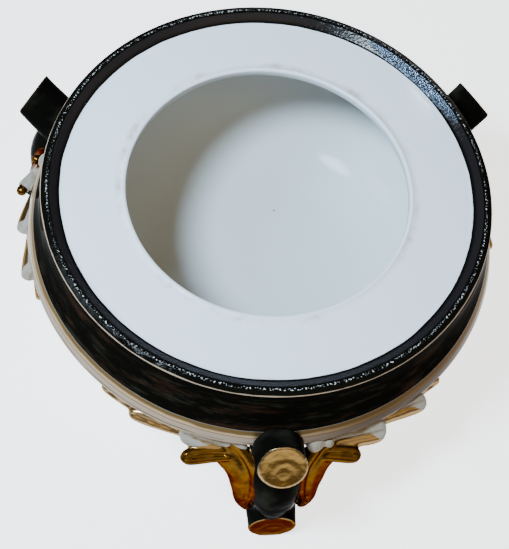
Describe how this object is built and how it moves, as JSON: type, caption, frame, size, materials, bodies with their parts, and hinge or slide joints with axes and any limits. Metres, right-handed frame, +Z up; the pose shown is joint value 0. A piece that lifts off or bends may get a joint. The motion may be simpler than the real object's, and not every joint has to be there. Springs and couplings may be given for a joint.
{
  "type": "porcelain cachepot",
  "caption": "Round hollow porcelain cachepot with a wide flat ledge round its opening, on branch-shaped feet with leaf sprays, black and white glaze with gilding.",
  "frame": {"origin": "middle of the bounding box on the ground that the three feet stand on; the bowl's own axis is 13.2 mm behind it, at y = +0.0132", "axes": "+Z up, along the bowl's axis; -Y towards the front branch"},
  "size_m": [0.2718, 0.2768, 0.121],
  "materials": {
    "white_glaze": "glossy bluish-white porcelain glaze",
    "black_glaze": "very glossy black overglaze",
    "gilding": "worn brown-gold gilding over glaze"
  },
  "bodies": {
    "root": {"cachepot": "white_glaze"}
  },
  "joints": []
}
